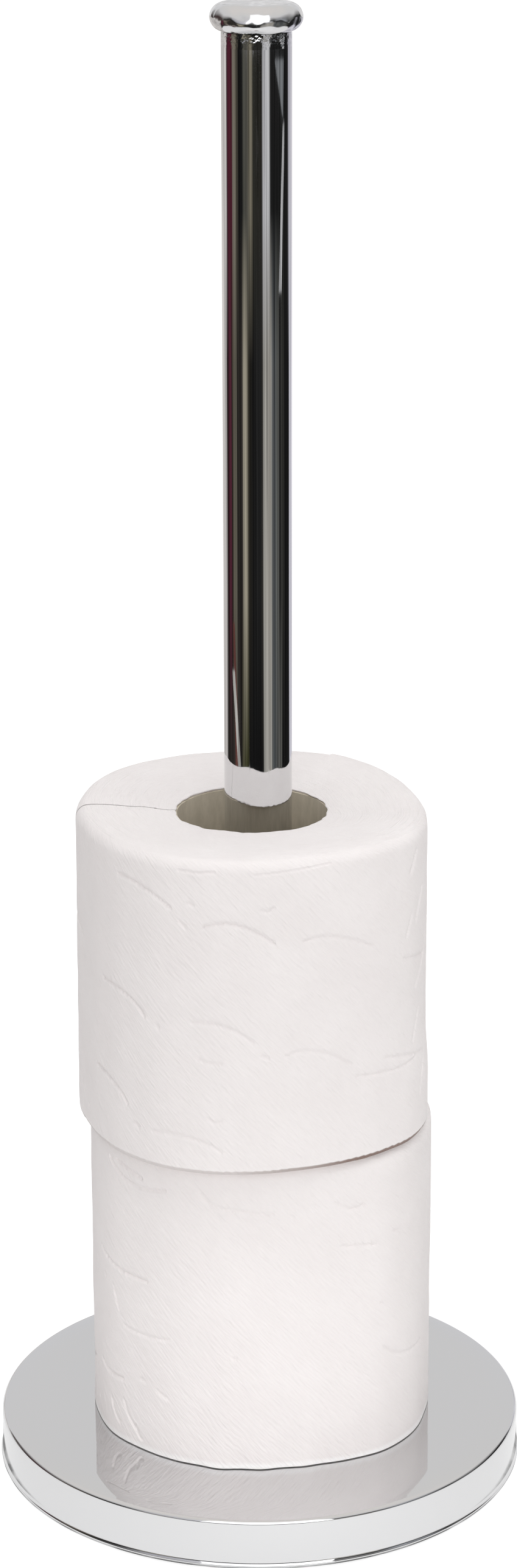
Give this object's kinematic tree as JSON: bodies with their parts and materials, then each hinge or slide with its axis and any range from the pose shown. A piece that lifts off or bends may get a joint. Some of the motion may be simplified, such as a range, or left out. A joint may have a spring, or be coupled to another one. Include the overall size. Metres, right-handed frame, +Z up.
{
  "type": "toilet roll storage stand",
  "caption": "Free-standing toilet roll stand: a round weighted base, a straight plated post and a round-rimmed cap, with spare rolls stacked on the post.",
  "frame": {"origin": "centre of the base on the floor", "axes": "+Z up along the post; the rolls sit a little off the post's axis, the upper one towards -X and -Y"},
  "size_m": [0.152, 0.152, 0.4234],
  "materials": {
    "plated_cover": "polished",
    "plated_tube": "polished",
    "plated_cap": "polished",
    "ballast": "matte",
    "foam_pad": "matte",
    "gasket": "satin",
    "fixings": "satin",
    "core_board": "matte",
    "tissue": "matte"
  },
  "bodies": {
    "stand": {"base_cover": "plated_cover", "base_weight": "ballast", "base_pad": "foam_pad", "post_gasket": "gasket", "post_tube": "plated_tube", "post_foot_insert": "fixings", "post_top_insert": "fixings", "clamp_bolt": "fixings", "clamp_washer": "fixings", "clamp_lock_washer": "fixings", "cap": "plated_cap", "cap_stud": "fixings"},
    "lower_roll": {"lower_roll_core": "core_board", "lower_roll_paper": "tissue"},
    "upper_roll": {"upper_roll_core": "core_board", "upper_roll_paper": "tissue"}
  },
  "joints": [
    {"name": "lower_roll_lift", "type": "slide", "parent": "stand", "child": "lower_roll", "axis": [0, 0, 1], "range_m": [0, 0.42]},
    {"name": "upper_roll_lift", "type": "slide", "parent": "lower_roll", "child": "upper_roll", "axis": [0, 0, 1], "range_m": [0, 0.33]}
  ]
}
